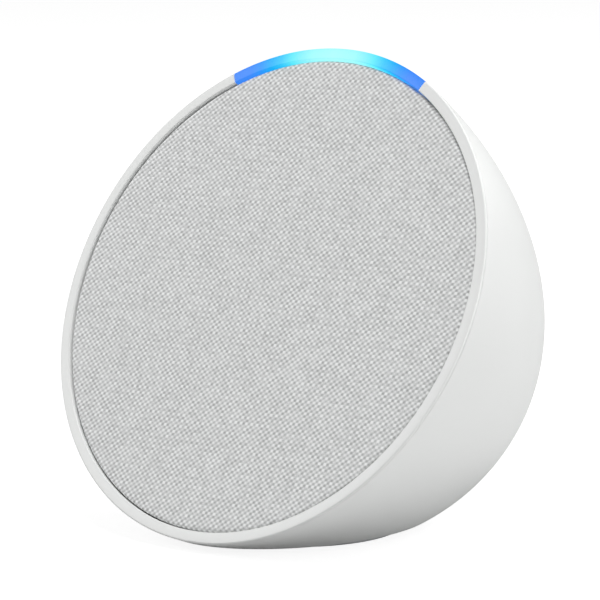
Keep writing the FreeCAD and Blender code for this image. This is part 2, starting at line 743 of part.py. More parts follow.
def wire_grommet():
    sleeve = turned([
        (0, TUB_BACK - 0.8), (3.2, TUB_BACK - 0.8), (3.2, TUB_BACK), (WIRE_HOLE_R - 0.02, TUB_BACK),
        (WIRE_HOLE_R - 0.02, TUB_BACK + TUB_T), (0, TUB_BACK + TUB_T),
    ])
    leads = [cylinder(WIRE_R + 0.05, TUB_BACK - 2, TUB_BACK + 4, side * 0.8, 0) for side in (-1, 1)]
    spot = Placement(Vector(WIRE_X, WIRE_Y, 0), Rotation())
    return put(put(sleeve.cut(leads), spot))


def ribbon(points, x_low, x_high, thickness=0.3):
    """A flat cable between two planes of constant X, folded along the given (y, z) points."""
    flat = [Vector(0, y, z) for y, z in points]
    sides = []
    for sign in (1, -1):
        line = []
        for i, here in enumerate(flat):
            steps = [(b - a).normalize() for a, b in zip(flat[max(i - 1, 0):], flat[max(i - 1, 0) + 1:i + 2])]
            normals = [Vector(0, -s.z, s.y) for s in steps]
            mean = normals[0] + normals[-1]
            mean = mean.normalize()
            line.append(here + mean * (sign * thickness / 2 / mean.dot(normals[0])))
        sides.append(line)
    outline = sides[0] + sides[1][::-1]
    face = Part.Face(Part.makePolygon(outline + [outline[0]]))
    face.translate(Vector(x_low, 0, 0))
    return face.extrude(Vector(x_high - x_low, 0, 0))


def face_yz(y, z):
    """Row (y, z) of a face-frame point in the plane of symmetry."""
    p = FACE.multVec(Vector(0, y, z))
    return p.y, p.z


def into_socket(points, name, half):
    """A ribbon that ends by coming down into its socket on the board's rear face."""
    y = BOARD_Y + BOARD_T + 0.9
    last = [(y + 1.6, SOCKET_TOP + 4.4), (y, SOCKET_TOP + 2.0), (y, SOCKET_TOP)]
    return ribbon(points + last, RIBBON_X[name] - half, RIBBON_X[name] + half)


def led_ribbon():
    """From the rear of the LED board, over the chamber, down to the main board."""
    low = LED_BOARD_Z - LED_BOARD_T
    path = [(42.8, low), (42.8, low - 1.2), (32.6, low - 2.1), (31.0, low - 3.6), (31.0, -28.0)]
    return into_socket([face_yz(*p) for p in path], "led", 2.5)


def button_ribbon():
    """From the rear edge of the button strip down to the main board."""
    start = under_buttons(FLEX_DEPTH + FLEX_T / 2, STRIP_REAR + 0.06)
    further = under_buttons(FLEX_DEPTH + FLEX_T / 2, STRIP_REAR + 3.0)
    return into_socket([face_yz(*start), face_yz(*further)], "buttons", 3.5)


def aerial(side):
    """A thin printed aerial glued to the inside of the wall."""
    skin = egg(WALL + 0.05, -5).cut(egg(WALL + 0.25, -4))
    patch = box(30, 60, 2, 22, -34, -18) if side > 0 else box(-60, -30, 2, 22, -34, -18)
    return put(skin.common(patch))


# ---------------------------------------------------------------- foot and fasteners
def foot_pad():
    top = FOOT_DROP + FOOT_RECESS - 0.1
    pad = turned([
        (0, 0.25), (15, 0.25), (15.3, 0), (FOOT_R - 0.8, 0), (FOOT_R - 0.23, 0.23, "via"), (FOOT_R, 0.8),
        (FOOT_R, top), (0, top),
    ])
    return put(pad, Placement(Vector(0, FOOT_Y, 0), Rotation()))


def foot_adhesive():
    top = FOOT_DROP + FOOT_RECESS
    return put(cylinder(FOOT_R - 0.6, top - 0.1, top), Placement(Vector(0, FOOT_Y, 0), Rotation()))


def chassis_screws():
    places = [FACE.multiply(Placement(Vector(x, y, CHASSIS_Z), Rotation())) for x, y in boss_spots()]
    return group(tilted_screw(9, p) for p in places)


def driver_screws():
    spots = [45, 135, 225, 315]
    places = []
    for angle in spots:
        a = math.radians(angle)
        spot = Vector(DRIVER_EAR_AT * math.cos(a), DRIVER_EAR_AT * math.sin(a), FLANGE_Z)
        places.append(DRIVER.multiply(Placement(spot, Rotation())))
    return group(tilted_screw(4.8, p) for p in places)


def board_screws():
    return group(tilted_screw(6, along_y(x, z, BOARD_Y)) for x, z in post_spots())


def bracket_screws():
    depth = FLEX_DEPTH + FLEX_T + BRACKET_T + 0.07
    upside = Rotation(Vector(1, 0, 0), 180)
    return group(
        tilted_screw(4.6, button_frame(a).multiply(Placement(Vector(0, BRACKET_SCREW_Y, -depth), upside)))
        for a in BRACKET_SCREW_ANGLES
    )


# ---------------------------------------------------------------- the whole
def pieces():
    """Every piece by the name of its node."""
    made = {
        "housing": housing(),
        "bezel_ring": bezel_ring(),
        "light_bar": light_bar(),
        "foot_pad": foot_pad(),
        "foot_adhesive": foot_adhesive(),
        "grille_fabric": grille_fabric(),
        "grille_frame": grille_frame(),
        "led_board": led_board(),
        "status_leds": status_leds(),
        "light_shield": light_shield(),
        "chassis": chassis(),
        "chamber_tub": chamber_tub(),
        "chamber_gasket": chamber_gasket(),
        "driver_gasket": driver_gasket(),
        "speaker_basket": speaker_basket(),
        "speaker_surround": speaker_surround(),
        "speaker_cone": speaker_cone(),
        "dust_cap": dust_cap(),
        "coil_former": coil_former(),
        "voice_coil": voice_coil(),
        "spider": spider(),
        "top_plate": top_plate(),
        "magnet": magnet(),
        "pole_yoke": pole_yoke(),
        "speaker_terminals": speaker_terminals(),
        "main_board": main_board(),
        "processor": processor(),
        "processor_shield": processor_shield(),
        "memory_chips": memory_chips(),
        "radio_module": radio_module(),
        "board_inductors": board_inductors(),
        "board_capacitors": board_capacitors(),
        "ribbon_sockets": ribbon_sockets(),
        "speaker_socket": speaker_socket(),
        "thermal_pad": thermal_pad(),
        "heat_spreader": heat_spreader(),
        "power_socket": power_socket(),
        "power_pin": power_pin(),
        "power_contact": power_contact(),
        "button_flex": button_flex(),
        "button_bracket": button_bracket(),
        "switch_bases": switch_bases(),
        "microphones": microphones(),
        "mic_boots": mic_boots(),
        "speaker_wires": speaker_wires(),
        "wire_grommet": wire_grommet(),
        "led_ribbon": led_ribbon(),
        "button_ribbon": button_ribbon(),
        "aerial_left": aerial(-1),
        "aerial_right": aerial(1),
        "chassis_screws": chassis_screws(),
        "driver_screws": driver_screws(),
        "board_screws": board_screws(),
        "bracket_screws": bracket_screws(),
    }
    for name in BUTTON_ANGLES:
        made[f"{name}_button"] = button(name)
        made[f"{name}_plunger"] = switch_plunger(name)
    return made


def main():
    os.makedirs("parts", exist_ok=True)
    for name, shape in pieces().items():
        solids = shape.Solids
        print(f"{name:20s} solids {len(solids)} volume {shape.Volume:9.1f} valid {shape.isValid()}")
        whole = solids[0] if len(solids) == 1 else Part.makeCompound(solids)
        whole.exportStep(f"parts/{name}.step")


main()
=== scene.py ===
"""The looks of the compact smart speaker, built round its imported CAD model. Metres, in the CAD's frame.

Pieces turned about the face's normal are built in the face frame: origin at the face's centre, +Z out of
the face, +Y up along it. A matrix then takes them to the CAD's frame. The sizes below are millimetres and
degrees, and MM makes metres of them where a mesh or a node needs them.
"""

import itertools
import json
import math

import bmesh
import bpy
import numpy as np
from mathutils import Matrix, Vector


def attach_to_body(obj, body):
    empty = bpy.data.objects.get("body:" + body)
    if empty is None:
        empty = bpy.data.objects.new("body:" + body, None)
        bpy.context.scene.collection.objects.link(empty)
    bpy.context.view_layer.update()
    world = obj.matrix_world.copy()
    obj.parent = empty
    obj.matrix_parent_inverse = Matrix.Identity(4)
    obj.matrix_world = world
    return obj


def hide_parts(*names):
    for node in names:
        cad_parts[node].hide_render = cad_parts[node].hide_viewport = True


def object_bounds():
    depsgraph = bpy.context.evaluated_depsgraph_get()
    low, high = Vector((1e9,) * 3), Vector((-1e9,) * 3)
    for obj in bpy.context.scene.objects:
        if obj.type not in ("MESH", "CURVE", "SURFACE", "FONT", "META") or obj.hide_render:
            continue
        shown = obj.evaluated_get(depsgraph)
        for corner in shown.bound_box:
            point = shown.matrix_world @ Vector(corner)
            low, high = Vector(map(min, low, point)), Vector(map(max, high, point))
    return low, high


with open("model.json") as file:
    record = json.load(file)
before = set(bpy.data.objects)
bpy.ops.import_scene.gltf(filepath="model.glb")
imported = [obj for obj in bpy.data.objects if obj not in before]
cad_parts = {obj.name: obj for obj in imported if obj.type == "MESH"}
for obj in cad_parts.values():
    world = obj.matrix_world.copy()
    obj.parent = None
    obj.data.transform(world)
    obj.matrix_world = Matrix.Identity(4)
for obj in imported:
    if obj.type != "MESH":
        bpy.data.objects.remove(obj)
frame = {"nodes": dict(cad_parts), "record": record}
cad_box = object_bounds()

MM = 0.001
scene = bpy.context.scene

# ---------------------------------------------------------------- sizes shared with the CAD model
WIDTH, DEPTH, HEIGHT = [1000 * (high - low) for low, high in zip(*cad_box)]
FACE_TILT = 26.0
CENTRE_AHEAD = 9.35  # from the face forward to the middle of the bowl's ellipsoid
WALL = 2.2
EDGE_R = 0.3
RIM_SLOPE = 0.09  # how fast the bowl narrows just behind the face
FIT = 0.1
BEZEL_INNER = WIDTH / 2 - WALL
BEZEL_DEEP, BEZEL_GAP, BEZEL_BEVEL = 0.5, 0.08, 0.2
TONGUE_WIDE, TONGUE_DEEP = 0.9, 4.0
LIGHT_HALF, LIGHT_DEEP = 28.6, 3.0
GUIDE_LIP, GUIDE_SLOPE = 1.1, 1.2
GUIDE_INNER, GUIDE_OUTER, GUIDE_DEEP = 44.0, 45.4, 8.0
FABRIC_R, FABRIC_Z, FABRIC_EDGE, FABRIC_HEM = 47.05, -0.45, 0.5, 1.0
THREAD_X, THREAD_Y = 0.652, 0.555
BUTTON_BACK = 17.5  # of the keys and the microphone holes behind the face
BUTTON_ANGLES = {"volume_up": 19.0, "volume_down": 0.0, "mic_off": -19.0}
MIC_ANGLES, MIC_HOLE_R = (-9.5, 9.5), 0.5
CAP_R, CAP_ROUND, CAP_HOLE_R = 4.35, 0.14, 4.6
FLANGE_R, FLANGE_TOP, FLANGE_LOW = 5.3, -2.8, -3.5
POST_R, POST_LOW = 1.4, -4.6
DISH_R, DISH_DEEP = 22.0, 0.45
MARK_Z, MARK_HALF, MARK_WIDE = -0.65, 1.6, 0.22
MARK_BARS = {"volume_up": (0, 90), "volume_down": (0,), "mic_off": (45,)}
SOCKET_Z, SOCKET_R, SOCKET_HALF = 27.0, 4.75, 6
COLLAR_R, COLLAR_Y, COLLAR_LONG = 6.6, 33.6, 7.0
PLUG_R, PLUG_DEEP, PIN_R, BOARD_BACK = 2.1, 9.5, 0.83, 20.6
FOOT_DROP = 1.0  # from the ground up to the flat underside
FOOT_R, FOOT_Y, FOOT_RECESS, FOOT_GAP = 20.0, -10.5, 0.8, 0.3

# ---------------------------------------------------------------- sizes that follow from them
SIN, COS = math.sin(math.radians(FACE_TILT)), math.cos(math.radians(FACE_TILT))
RIM_R = WIDTH / 2 + RIM_SLOPE * EDGE_R
FACE_Z = HEIGHT - (WIDTH / 2 - EDGE_R) * COS + EDGE_R * (SIN - 1)
FACE_Y = (WIDTH / 2 - EDGE_R) * SIN - EDGE_R * (COS - 1) - DEPTH / 2
# the ellipsoid of revolution that passes through the rim and touches the back of the CAD's box
REACH = DEPTH / 2 - FACE_Y + CENTRE_AHEAD * COS
MIDDLE = REACH**2 + (CENTRE_AHEAD * COS) ** 2 - (RIM_R * SIN) ** 2
LONG = math.sqrt((MIDDLE + math.sqrt(MIDDLE**2 - (2 * REACH * CENTRE_AHEAD * COS) ** 2)) / (2 * COS**2))
ROUND = RIM_R / math.sqrt(1 - (CENTRE_AHEAD / LONG) ** 2)

# ---------------------------------------------------------------- camera and lamps
CAMERA_AZIMUTH, CAMERA_ELEVATION, CAMERA_ROLL = 40.33, 7.355, -0.51
CAMERA_DISTANCE, CAMERA_LENS, CAMERA_SENSOR = 591.75, 189.1, 36.0
CAMERA_AIM = (0, -19.63, 46.34)
CAMERA_ASIDE = (6.631, -1.557)  # how far the camera's axis passes right of the aim and above it
LAMP_WIDE, LAMP_AIM = 0.8, (0, 0, 0.04)
LAMPS = {  # place in metres, and watts
    "overhead": ((0.2, -0.2, 1.8), 20.5),
    "right": ((1.7, 0.2, 0.25), 14.5),
    "rear": ((0.4, 1.5, 0.9), 8.0),
    "left": ((-1.2, -1.0, 0.8), 6.2),
}
SKY_LIGHT, SKY_SEEN = 0.3, 1.02  # the backdrop's strength for the other rays, and for the camera's


def shift(x, y, z):
    return Matrix.Translation(Vector((x, y, z)) * MM)


def turned(degrees, axis):
    return Matrix.Rotation(math.radians(degrees), 4, axis)


FACE = shift(0, FACE_Y, FACE_Z) @ turned(90 - FACE_TILT, "X")
SOCKET_FRAME = shift(0, COLLAR_Y, SOCKET_Z) @ turned(-90, "X")
FOOT_FRAME = shift(0, FOOT_Y, 0)


# ---------------------------------------------------------------- node helpers
class Shader:
    """A material's node tree, with short calls for the nodes used here."""

    def __init__(self, name):
        self.material = bpy.data.materials.new(name)
        self.material.use_nodes = True
        self.tree = self.material.node_tree
        self.bsdf = self.tree.nodes["Principled BSDF"]

    def put(self, socket, value):
        """Link another node's socket, or set a plain number or colour."""
        if isinstance(value, bpy.types.NodeSocket):
            self.tree.links.new(value, socket)
        else:
            socket.default_value = value

    def surface(self, **values):
        """Fill the shader's own sockets, as in surface(Base_Color=...), and return the material."""
        for key, value in values.items():
            self.put(self.bsdf.inputs[key.replace("_", " ")], value)
        return self.material

    def node(self, kind, inputs=None, **settings):
        made = self.tree.nodes.new(kind)
        for key, value in settings.items():
            setattr(made, key, value)
        for key, value in (inputs or {}).items():
            self.put(made.inputs[key], value)
        return made

    def math(self, operation, *values):
        made = self.node("ShaderNodeMath", operation=operation)
        for socket, value in zip(made.inputs, values):
            self.put(socket, value)
        return made.outputs[0]

    def place(self):
        return self.node("ShaderNodeTexCoord").outputs["Object"]

    def split(self):
        """The place's X, Y and Z."""
        return self.node("ShaderNodeSeparateXYZ", {"Vector": self.place()}).outputs

    def noise(self, scale, detail=2.0, rough=0.5):
        inputs = {"Vector": self.place(), "Scale": scale, "Detail": detail, "Roughness": rough}
        return self.node("ShaderNodeTexNoise", inputs).outputs["Fac"]

    def between(self, factor, low, high, start=0.0, end=1.0):
        inputs = {"Value": factor, "From Min": start, "From Max": end, "To Min": low, "To Max": high}
        return self.node("ShaderNodeMapRange", inputs).outputs["Result"]

    def mix(self, factor, first, second):
        made = self.node("ShaderNodeMix", data_type="RGBA")
        for index, value in ((0, factor), (6, first), (7, second)):  # 6 and 7 are its colour inputs
            self.put(made.inputs[index], value)
        return made.outputs[2]

    def bump(self, height, strength, distance):
        inputs = {"Height": height, "Strength": strength, "Distance": distance}
        return self.node("ShaderNodeBump", inputs).outputs["Normal"]


def rgb(r, g, b):
    return (r, g, b, 1.0)


def shade(colour, gain):
    return tuple(min(1.0, c * gain) for c in colour[:3]) + (1.0,)


SHELL_WHITE = rgb(0.80, 0.81, 0.80)
GRAIN_DEEP = 0.000006  # metres
VARY = 0.03  # how far the moulded finish strays from its colour and its roughness


def moulded(name, colour, roughness, grain=3200.0):
    """Fine satin plastic: spark-eroded grain, with faint cloudiness in colour and gloss."""
    s = Shader(name)
    cloud = s.noise(28.0, 3.0)
    grains = s.noise(grain, 3.0, 0.6)
    gloss = s.between(cloud, roughness - VARY, roughness + VARY)
    s.surface(
        Base_Color=s.mix(cloud, shade(colour, 1 - VARY), shade(colour, 1 + VARY)),
        Roughness=s.math("ADD", gloss, s.between(grains, -VARY, VARY)),
        Normal=s.bump(grains, 0.35, GRAIN_DEEP),
    )
    return s


# ---------------------------------------------------------------- mesh helpers
def new_object(name, verts, faces):
    mesh = bpy.data.meshes.new(name)
    mesh.from_pydata([tuple(v) for v in verts], [], [tuple(f) for f in faces])
    obj = bpy.data.objects.new(name, mesh)
    scene.collection.objects.link(obj)
    return obj


def paint(obj, material):
    obj.data.materials.clear()
    obj.data.materials.append(material)


def smooth(mesh, angle):
    mesh.polygons.foreach_set("use_smooth", [True] * len(mesh.polygons))
    mesh.set_sharp_from_angle(angle=math.radians(angle))


def outwards(obj):
    """Turn every face of a closed piece outwards."""
    b = bmesh.new()
    b.from_mesh(obj.data)
    bmesh.ops.recalc_face_normals(b, faces=b.faces)
    b.to_mesh(obj.data)
    b.free()


def attach(obj, body, node):
    """The piece rides that body and stands for that CAD node, which it hides."""
    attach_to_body(obj, body)
    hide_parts(node)


def add_piece(name, verts, faces, material, node, matrix=FACE, angle=32.0):
    """A finished piece of the enclosure, built in the frame that its object keeps."""
    obj = new_object(name, verts, faces)
    obj.data.validate()
    obj.data.update()
    obj.matrix_world = matrix
    paint(obj, material)
    smooth(obj.data, angle)
    attach(obj, "enclosure", node)
    return obj


def solid(name, verts, faces, matrix=Matrix.Identity(4)):
    """A closed mesh to cut or to cut with, taken to the CAD's frame."""
    obj = new_object(name, verts, faces)
    obj.data.transform(matrix)
    outwards(obj)
    return obj


def block(low, high, name="block"):
    corners = [tuple(c * MM for c in corner) for corner in itertools.product(*zip(low, high))]
    faces = [(0, 1, 3, 2), (4, 6, 7, 5), (0, 4, 5, 1), (2, 3, 7, 6), (0, 2, 6, 4), (1, 5, 7, 3)]
    return solid(name, corners, faces)


def drum(radius, low, high, matrix, steps=96, chamfer=0.0):
    """A cylinder along that frame's Z, in millimetres; chamfer widens its upper end."""
    outline = [(0, low), (radius, low), (radius, high - chamfer), (radius + chamfer, high), (0, high)]
    if not chamfer:
        outline.pop(3)
    verts, faces = lathe(outline, steps, closed=False)
    return solid("drum", verts, faces, matrix)


def cut(target, tools):
    """Take the tools off the target in that order, and delete them."""
    for tool in tools:
        mod = target.modifiers.new("cut", "BOOLEAN")
        mod.operation, mod.solver, mod.object = "DIFFERENCE", "EXACT", tool
    bpy.context.view_layer.update()
    graph = bpy.context.evaluated_depsgraph_get()
    mesh = bpy.data.meshes.new_from_object(target.evaluated_get(graph))
    target.modifiers.clear()
    target.data = mesh
    for tool in tools:
        bpy.data.objects.remove(tool)


def arc(centre, radius, start, end, steps):
    """Points of a circle in the (radius, height) plane, with angles in degrees."""
    out = []
    for i in range(steps + 1):
        a = math.radians(start + (end - start) * i / steps)
        out.append((centre[0] + radius * math.cos(a), centre[1] + radius * math.sin(a)))
    return out


def surface_radius(back):
    """The bowl's radius that far behind the face."""
    return ROUND * math.sqrt(max(0.0, 1 - ((back + CENTRE_AHEAD) / LONG) ** 2))


def egg_profile(first, steps, inset=0.0):
    """The bowl's outline from that far behind the face to its pole, evenly stepped in angle."""
    low = math.asin((first + CENTRE_AHEAD) / (LONG - inset))
    out = []
    for i in range(steps + 1):
        a = low + (math.pi / 2 - low) * i / steps
        out.append(((ROUND - inset) * math.cos(a), CENTRE_AHEAD - (LONG - inset) * math.sin(a)))
    out[-1] = (0.0, CENTRE_AHEAD - (LONG - inset))
    return out


def lathe(profile, steps, start=0.0, sweep=360.0, closed=True):
    """Verts, in metres, and faces of an outline of (radius, height) points turned about Z. A closed outline
    joins its last point to its first, and a sweep of less than a whole turn gets end caps."""
    whole = sweep >= 360.0
    columns = steps if whole else steps + 1
    verts, index = [], []
    for j in range(columns):
        a = math.radians(start + sweep * j / steps)
        row = []
        for k, (r, z) in enumerate(profile):
            if r < 1e-6 and j > 0:
                row.append(index[0][k])
            else:
                row.append(len(verts))
                verts.append((r * math.cos(a) * MM, r * math.sin(a) * MM, z * MM))
        index.append(row)
    faces = []
    count = len(profile)
    spans = count if closed else count - 1
    for j in range(steps):
        near, far = index[j], index[(j + 1) % columns]
        for k in range(spans):
            n = (k + 1) % count
            ring = [near[k], far[k], far[n], near[n]]
            face = [v for i, v in enumerate(ring) if v != ring[i - 1]]
            if len(face) > 2:
                faces.append(face)
    if not whole:
        faces.append(list(index[0]))
        faces.append(list(reversed(index[-1])))
    return verts, faces


# ---------------------------------------------------------------- bezel ring and light bar
def rim_section(deep):
    """The rim's outline: its inner bevel, the flat front, the rounded edge, then back along the skin."""
    centre = (WIDTH / 2 - EDGE_R, -EDGE_R)
    lean = math.degrees(math.atan2(surface_radius(0) - surface_radius(2), 2))
    points = [(BEZEL_INNER, -BEZEL_BEVEL)]
    points += arc((BEZEL_INNER + BEZEL_BEVEL, -BEZEL_BEVEL), BEZEL_BEVEL, 180, 90, 4)[1:]
    points += arc(centre, EDGE_R, 90, -lean, 10)
    for i in range(1, 4):
        back = EDGE_R + (deep - EDGE_R) * i / 3
        points.append((surface_radius(back), -back))
    return points


def bezel_ring():
    white = moulded("bezel_white", SHELL_WHITE, 0.38).material
    tongue = BEZEL_INNER + TONGUE_WIDE
    section = rim_section(BEZEL_DEEP)
    section += [(tongue, -BEZEL_DEEP), (tongue, -TONGUE_DEEP), (BEZEL_INNER, -TONGUE_DEEP)]
    half = LIGHT_HALF + math.degrees(FIT / RIM_R)
    verts, faces = lathe(section, 420, 90 + half, 360 - 2 * half)
    outwards(add_piece("bezel_ring_v", verts, faces, white, "bezel_ring"))


LIGHT_STOPS = [  # share of the way from the middle to an end, and the colour there
    (0.00, rgb(0.39, 0.96, 0.96)),
    (0.21, rgb(0.34, 0.94, 0.98)),
    (0.315, rgb(0.245, 0.86, 0.97)),
    (0.42, rgb(0.115, 0.81, 0.95)),
    (0.525, rgb(0.035, 0.58, 0.95)),
    (0.63, rgb(0.008, 0.44, 0.93)),
    (0.735, rgb(0.025, 0.31, 0.96)),
    (0.84, rgb(0.045, 0.255, 0.95)),
    (1.00, rgb(0.045, 0.245, 0.90)),
]


def lit_plastic():
    """Light guide: pale aqua in the middle, cyan, then azure at both ends, and it glows."""
    s = Shader("light_guide")
    place = s.split()
    turn = s.math("ARCTAN2", s.math("ABSOLUTE", place["X"]), place["Y"])
    ramp = s.node("ShaderNodeValToRGB", {"Fac": s.math("DIVIDE", turn, math.radians(LIGHT_HALF))})
    elements = ramp.color_ramp.elements
    elements[0].position, elements[0].color = LIGHT_STOPS[0]
    elements[1].position, elements[1].color = LIGHT_STOPS[-1]
    for position, colour in LIGHT_STOPS[1:-1]:
        elements.new(position).color = colour
    glow = ramp.outputs["Color"]
    return s.surface(
        Base_Color=s.mix(0.94, glow, rgb(0, 0, 0)),
        Emission_Color=glow,
        Emission_Strength=0.97,
        Specular_IOR_Level=0.2,
        Roughness=s.between(s.noise(900.0), 0.22, 0.34),
    )


def light_bar():
    section = [
        *rim_section(LIGHT_DEEP),
        (BEZEL_INNER + GUIDE_LIP, -LIGHT_DEEP),
        (GUIDE_OUTER, -GUIDE_DEEP),
        (GUIDE_INNER, -GUIDE_DEEP),
        (BEZEL_INNER, -LIGHT_DEEP - GUIDE_SLOPE),
    ]
    half = LIGHT_HALF - math.degrees(FIT / RIM_R)
    verts, faces = lathe(section, 96, 90 - half, 2 * half)
    outwards(add_piece("light_bar_v", verts, faces, lit_plastic(), "light_bar"))


# ---------------------------------------------------------------- housing
BUTTON_SURFACE_R = surface_radius(BUTTON_BACK)
BUTTON_LEAN = math.atan(ROUND**2 * (BUTTON_BACK + CENTRE_AHEAD) / (LONG**2 * BUTTON_SURFACE_R))


def button_frame(angle):
    """The frame on the skin that far round from the top: +Z straight out of it, +X across."""
    a = math.radians(angle)
    out, across = Vector((math.sin(a), math.cos(a), 0)), Vector((math.cos(a), -math.sin(a), 0))
    origin = out * BUTTON_SURFACE_R + Vector((0, 0, -BUTTON_BACK))
    normal = out * math.cos(BUTTON_LEAN) + Vector((0, 0, -math.sin(BUTTON_LEAN)))
    turn = Matrix((across, normal.cross(across), normal)).transposed().to_4x4()
    return FACE @ (Matrix.Translation(origin * MM) @ turn)


ON_SKIN = 2e-4  # how near its own ellipsoid a vertex of the skin lies, as a share of the radius
ALIGNED = 0.97  # cosine between a face of the skin and the ellipsoid's normal


def ellipsoid_normals(obj):
    """Exact normals for the loops that lie on the bowl's skin, so that its cuts leave no shading marks."""
    mesh = obj.data
    inverse = FACE.inverted()
    turn = FACE.to_3x3()
    smooth(mesh, 30)
    exact = {}
    for v in mesh.vertices:
        p = inverse @ v.co / MM
        q = Vector((p.x / ROUND, p.y / ROUND, (p.z - CENTRE_AHEAD) / LONG))
        if abs(q.length - 1) < ON_SKIN:
            grad = Vector((p.x / ROUND**2, p.y / ROUND**2, (p.z - CENTRE_AHEAD) / LONG**2))
            exact[v.index] = (turn @ grad).normalized()
    normals = [Vector(n.vector) for n in mesh.corner_normals]
    for poly in mesh.polygons:
        for loop in poly.loop_indices:
            vertex = mesh.loops[loop].vertex_index
            if vertex in exact and exact[vertex].dot(poly.normal) > ALIGNED:
                normals[loop] = exact[vertex]
    mesh.normals_split_custom_set(normals)


def housing():
    """The bowl: the ellipsoid's skin, opened for its parts and hollowed."""
    skin_top = BEZEL_DEEP + BEZEL_GAP
    verts, faces = lathe([(0.0, -skin_top), *egg_profile(skin_top, 150)], 320, closed=False)
    body = solid("housing_v", verts, faces, FACE)
    verts, faces = lathe([(0.0, 2.0), *egg_profile(-2.0, 70, WALL)], 160, closed=False)
    hollow = solid("hollow", verts, faces, FACE)
    # the flat bottom keeps its wall, and the power inlet its collar
    wide, clear = 80, 60  # reach past the whole object, and past the rim
    below, above = -6, 3  # a cutter's ends, inside the skin and outside it
    floor = block((-wide, -wide, -wide), (wide, wide, FOOT_DROP + WALL))
    cut(hollow, [floor, drum(COLLAR_R, 0, COLLAR_LONG, SOCKET_FRAME)])
    inner, low = BEZEL_INNER - FIT, -LIGHT_DEEP - FIT
    notch = [(inner, 2), (clear, 2), (clear, low), (inner, low)]
    verts, faces = lathe(notch, 96, 90 - LIGHT_HALF, 2 * LIGHT_HALF)
    cuts = [
        block((-wide, -wide, -wide), (wide, wide, FOOT_DROP)),
        drum(SOCKET_R, -2, 12, SOCKET_FRAME),
        solid("notch", verts, faces, FACE),
        drum(BEZEL_INNER + (TONGUE_WIDE + FIT), -(TONGUE_DEEP + FIT), above, FACE, 360),
        drum(FOOT_R + FOOT_GAP, -5, FOOT_DROP + FOOT_RECESS, FOOT_FRAME, 160),
    ]
    cuts += [drum(CAP_HOLE_R, below, above, button_frame(a), 128) for a in BUTTON_ANGLES.values()]
    cuts += [drum(MIC_HOLE_R, below, above, button_frame(a), 40) for a in MIC_ANGLES]
    cut(body, [*cuts, hollow])  # the hollow last: a cut made after it can leave a film across its hole
    paint(body, moulded("shell_white", SHELL_WHITE, 0.40).material)
    ellipsoid_normals(body)
    attach(body, "enclosure", "housing")


# ---------------------------------------------------------------- power inlet
def inlet(plastic, metal):
    """The socket seen down the inlet: its body with a bore, the centre pin and the sprung leaf."""
    front = -0.6  # the socket's mouth, below the collar's seat
    mouth, half = COLLAR_Y + front, SOCKET_HALF
    body = block((-half, BOARD_BACK, SOCKET_Z - half), (half, mouth, SOCKET_Z + half), "power_socket_v")
    bottom = front - PLUG_DEEP
    cut(body, [drum(PLUG_R, bottom, front, SOCKET_FRAME, chamfer=0.25)])
    outline = [(0, bottom), (PIN_R, bottom), (PIN_R, front - 1.5)]
    outline += [(PIN_R - 0.04, front - 1.3), (0.5, front - 0.9), (0, front - 0.8)]  # its rounded tip
    verts, faces = lathe(outline, 48, closed=False)
    pin = solid("power_pin_v", verts, faces, SOCKET_FRAME)
    wide, thick, low = 0.8, 0.3, SOCKET_Z - PLUG_R + 0.2
    leaf = block((-wide, mouth - 8.8, low), (wide, mouth - 2.0, low + thick), "power_contact_v")
    finished = [
        (body, plastic, "plunger_plastic"),
        (pin, metal, "contact_metal"),
        (leaf, metal, "contact_metal"),
    ]
    for obj, material, slot in finished:
        paint(obj, material)
        smooth(obj.data, 30)
        attach(obj, "enclosure", obj.name.removesuffix("_v"))


# ---------------------------------------------------------------- keys
def skin_height(to_face, x, y):
    """Height of the bowl's skin over a button frame's plane, by Newton's steps."""
    step = to_face.to_3x3() @ Vector((0, 0, 1))
    z = 0.0
    for _ in range(4):
        q = to_face @ Vector((x, y, z))
        gap = (q.x**2 + q.y**2) / ROUND**2 + (q.z - CENTRE_AHEAD) ** 2 / LONG**2 - 1
        rise = 2 * ((q.x * step.x + q.y * step.y) / ROUND**2 + (q.z - CENTRE_AHEAD) * step.z / LONG**2)
        z -= gap / rise
    return z


def key_plastic():
    """The keys' plastic, with grey paint in the grooves of their marks but not on the flange below."""
    s = moulded("button_white", rgb(0.79, 0.80, 0.79), 0.36)
    colour = s.bsdf.inputs["Base Color"].links[0].from_socket
    deep = s.split()["Z"]
    paint_top, paint_low = -0.53 * MM, -1.0 * MM
    filled = s.math("MULTIPLY", s.math("LESS_THAN", deep, paint_top), s.math("GREATER_THAN", deep, paint_low))
    return s.surface(Base_Color=s.mix(filled, colour, rgb(0.22, 0.23, 0.24)))


